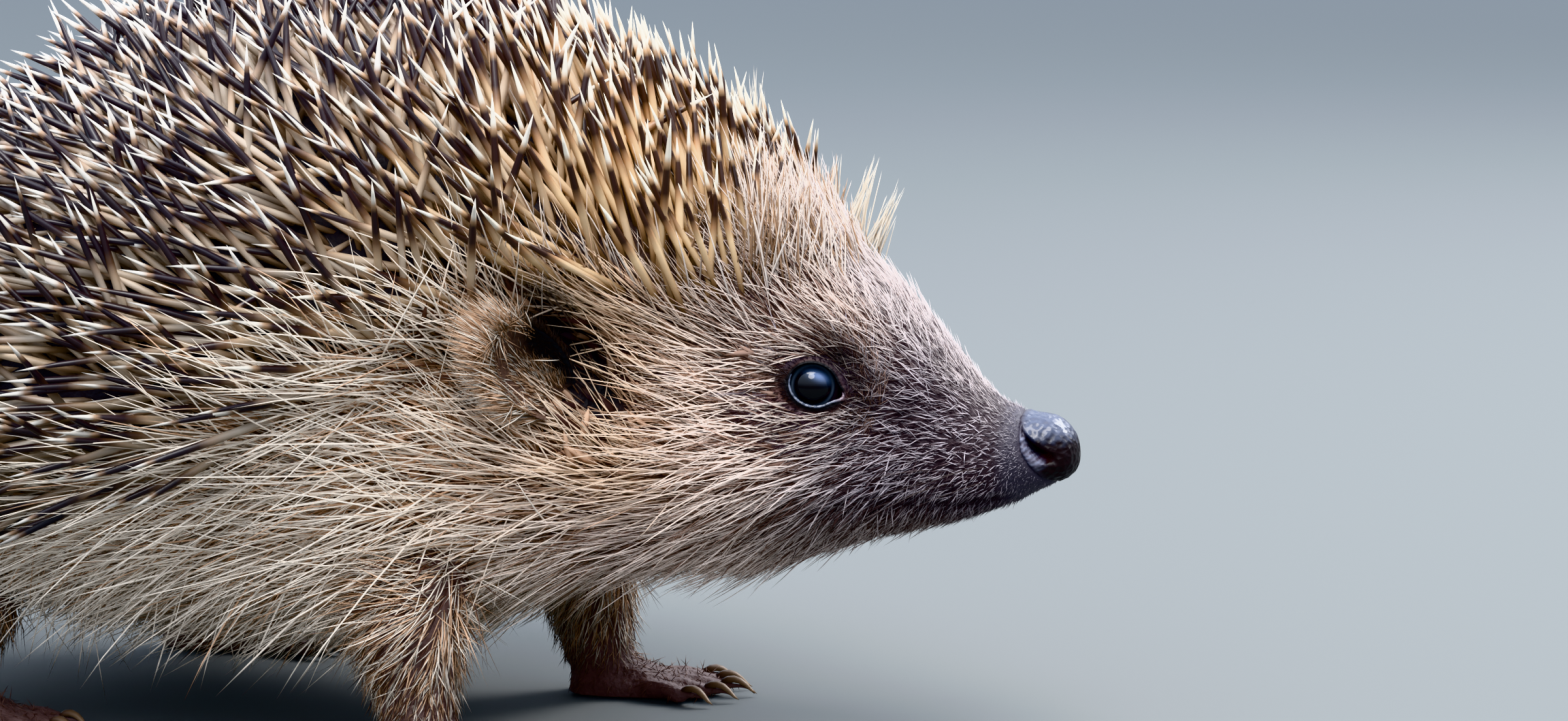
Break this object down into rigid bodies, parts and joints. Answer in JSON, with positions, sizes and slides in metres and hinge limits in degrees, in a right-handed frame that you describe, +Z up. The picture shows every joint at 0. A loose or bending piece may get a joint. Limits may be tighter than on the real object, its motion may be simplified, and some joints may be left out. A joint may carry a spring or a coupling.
{
  "type": "hedgehog",
  "caption": "Life-size European hedgehog standing on four feet: pointed muzzle, dark eyes, rounded ears, furry face and flanks, and a high dome of banded spines.",
  "frame": {"origin": "on the floor, under the middle of the animal's bounding box", "axes": "+X along the trunk towards the head, +Y to the animal's left, +Z up; the head turns about 13 degrees towards +Y"},
  "size_m": [0.1585, 0.1084, 0.0912],
  "materials": {
    "fur": "coarse beige fur over dark brown underfur",
    "muzzle_fur": "short grey-brown fur",
    "spines": "smooth horny spines, banded cream and dark brown",
    "nose_leather": "wet, finely grained",
    "eye": "wet and glossy",
    "bare_skin": "soft, thinly haired skin with horny claws"
  },
  "bodies": {
    "root": {"head": "fur", "lower_jaw": "muzzle_fur", "nose": "nose_leather", "eye_left": "eye", "eye_right": "eye", "ear_left": "bare_skin", "ear_right": "bare_skin", "neck": "fur", "trunk": "fur", "tail": "fur", "crown": "spines", "back": "spines", "foreleg_left": "fur", "foreleg_right": "fur", "hindleg_left": "fur", "hindleg_right": "fur", "forefoot_left": "bare_skin", "forefoot_right": "bare_skin", "hindfoot_left": "bare_skin", "hindfoot_right": "bare_skin"}
  },
  "joints": []
}
